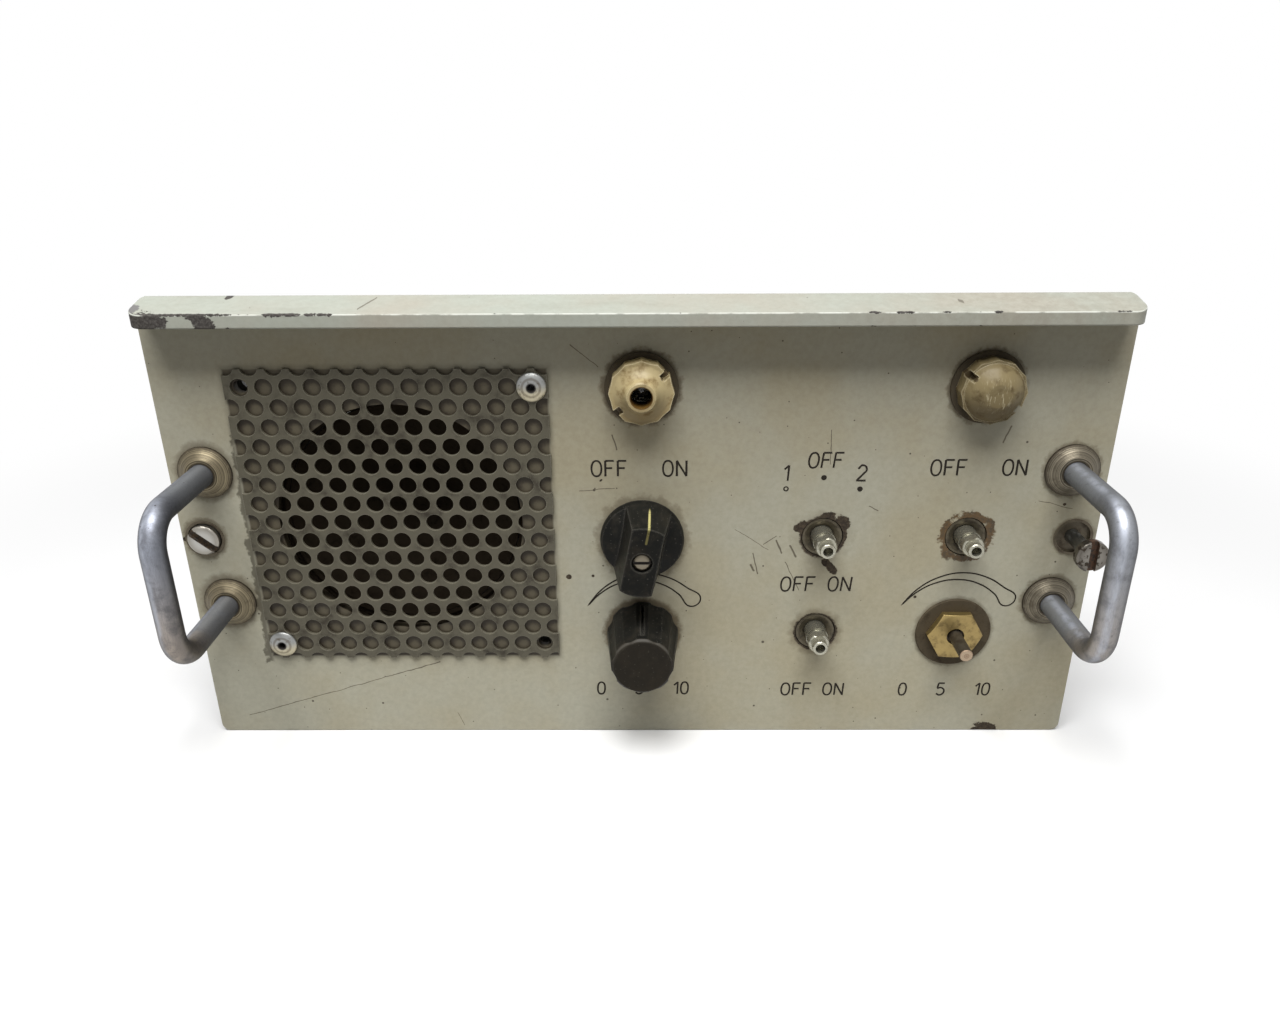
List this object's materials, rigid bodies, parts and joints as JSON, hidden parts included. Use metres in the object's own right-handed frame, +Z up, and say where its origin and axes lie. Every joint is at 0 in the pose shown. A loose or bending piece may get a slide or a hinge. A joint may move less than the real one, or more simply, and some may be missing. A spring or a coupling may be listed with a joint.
{
  "type": "panel-mounted radio amplifier",
  "caption": "Slide-in radio amplifier with a painted visor panel, bent-rod handles, captive screws, perforated speaker grille, lamp caps, knobs and bare control shafts.",
  "frame": {"origin": "under the middle of the overall box, on the plane that the unit stands on", "axes": "+X to the right seen from the front, +Y from the front panel to the rear, +Z up"},
  "size_m": [0.32, 0.238, 0.1656],
  "materials": {
    "panel_enamel": "satin enamel, worn and grimy",
    "grille_paint": "satin, dirty",
    "handle_steel": "satin, worn",
    "collar_steel": "turned, dull",
    "screw_steel": "nickelled, tarnished",
    "lamp_ivory": "yellowed ivory",
    "black_rubber": "matte",
    "black_bakelite": "semi-gloss, worn",
    "gland_brass": "tarnished",
    "bush_brass": "dull brown",
    "shaft_steel": "turned",
    "zinc_steel": "zinc plated",
    "chassis_alloy": "bare, dull",
    "sink_black": "black anodised",
    "core_iron": "varnished laminations",
    "coil_wrap": "varnished cloth",
    "can_alloy": "drawn",
    "board_laminate": "laminate",
    "part_resin": "moulded",
    "cone_paper": "matte paper",
    "basket_paint": "satin",
    "bulb_glass": "clear",
    "wafer_laminate": "paper laminate",
    "loom_jacket": "sleeved"
  },
  "bodies": {
    "chassis": {"front_panel": "panel_enamel", "panel_visor": "panel_enamel", "speaker_grille": "grille_paint", "grille_fasteners": "screw_steel", "m4_nuts": "zinc_steel", "speaker_gasket": "black_rubber", "speaker_basket": "basket_paint", "speaker_magnet": "core_iron", "speaker_surround": "cone_paper", "handle_left": "handle_steel", "handle_right": "handle_steel", "handle_collars": "collar_steel", "panel_nuts": "zinc_steel", "captive_bushes": "collar_steel", "lamp_cap_left": "lamp_ivory", "lamp_cap_right": "lamp_ivory", "lamp_gaskets": "black_rubber", "lamp_holders": "bush_brass", "lamp_bulbs": "bulb_glass", "switch_bushes": "bush_brass", "switch_frames": "zinc_steel", "switch_wafers": "wafer_laminate", "pot_bodies": "part_resin", "backlight_disc": "black_bakelite", "backlight_nut": "gland_brass", "chassis_plate": "chassis_alloy", "side_bracket_left": "chassis_alloy", "side_bracket_right": "chassis_alloy", "rear_plate": "chassis_alloy", "chassis_screws": "zinc_steel", "transformer_cores": "core_iron", "transformer_coils": "coil_wrap", "transformer_straps": "zinc_steel", "filter_capacitors": "can_alloy", "amplifier_board": "board_laminate", "board_spacers": "zinc_steel", "board_screws": "zinc_steel", "board_components": "part_resin", "output_transistors": "can_alloy", "heat_sink": "sink_black", "rear_connector": "part_resin", "connector_pins": "bush_brass", "guide_pins": "screw_steel", "wiring_loom": "loom_jacket", "loom_clips": "can_alloy"},
    "power_control": {"power_knob": "black_bakelite", "power_knob_screw": "screw_steel", "switch_shaft_power": "shaft_steel"},
    "volume_control": {"volume_knob": "black_bakelite", "volume_pot_shaft": "shaft_steel"},
    "upper_selector": {"switch_shaft_upper": "shaft_steel"},
    "lower_selector": {"switch_shaft_lower": "shaft_steel"},
    "right_selector": {"switch_shaft_right": "shaft_steel"},
    "backlight_control": {"backlight_pot_shaft": "shaft_steel"},
    "left_screw_ring": {"retaining_ring_left": "zinc_steel"},
    "left_screw": {"captive_screw_left": "screw_steel"},
    "right_screw_ring": {"retaining_ring_right": "zinc_steel"},
    "right_screw": {"captive_screw_right": "screw_steel"},
    "speaker_diaphragm": {"speaker_cone": "cone_paper"}
  },
  "joints": [
    {"name": "power_turn", "type": "hinge", "parent": "chassis", "child": "power_control", "pos_m": [0.0016, -0.07245, 0.08131], "axis": [0, 1, 0], "range_deg": [-30, 0]},
    {"name": "volume_turn", "type": "hinge", "parent": "chassis", "child": "volume_control", "pos_m": [0.0016, -0.07245, 0.0433], "axis": [0, 1, 0], "range_deg": [-135, 135]},
    {"name": "upper_selector_turn", "type": "hinge", "parent": "chassis", "child": "upper_selector", "pos_m": [0.06461, -0.07245, 0.08131], "axis": [0, 1, 0], "range_deg": [-30, 30]},
    {"name": "lower_selector_turn", "type": "hinge", "parent": "chassis", "child": "lower_selector", "pos_m": [0.06461, -0.07245, 0.0433], "axis": [0, 1, 0], "range_deg": [0, 30]},
    {"name": "right_selector_turn", "type": "hinge", "parent": "chassis", "child": "right_selector", "pos_m": [0.1147, -0.07245, 0.08131], "axis": [0, 1, 0], "range_deg": [0, 30]},
    {"name": "backlight_turn", "type": "hinge", "parent": "chassis", "child": "backlight_control", "pos_m": [0.1147, -0.07245, 0.0433], "axis": [0, 1, 0], "range_deg": [-135, 135]},
    {"name": "left_screw_draw", "type": "slide", "parent": "chassis", "child": "left_screw_ring", "axis": [0, -1, 0], "range_m": [0, 0.0145]},
    {"name": "left_screw_spin", "type": "hinge", "parent": "left_screw_ring", "child": "left_screw", "pos_m": [-0.152, -0.07245, 0.08131], "axis": [0, 1, 0], "continuous": true},
    {"name": "right_screw_draw", "type": "slide", "parent": "chassis", "child": "right_screw_ring", "axis": [0, -1, 0], "range_m": [-0.0145, 0]},
    {"name": "right_screw_spin", "type": "hinge", "parent": "right_screw_ring", "child": "right_screw", "pos_m": [0.152, -0.07245, 0.08131], "axis": [0, 1, 0], "continuous": true},
    {"name": "diaphragm_stroke", "type": "slide", "parent": "chassis", "child": "speaker_diaphragm", "axis": [0, 1, 0], "range_m": [-0.001, 0.001], "stiffness_N_per_m": 1200}
  ]
}
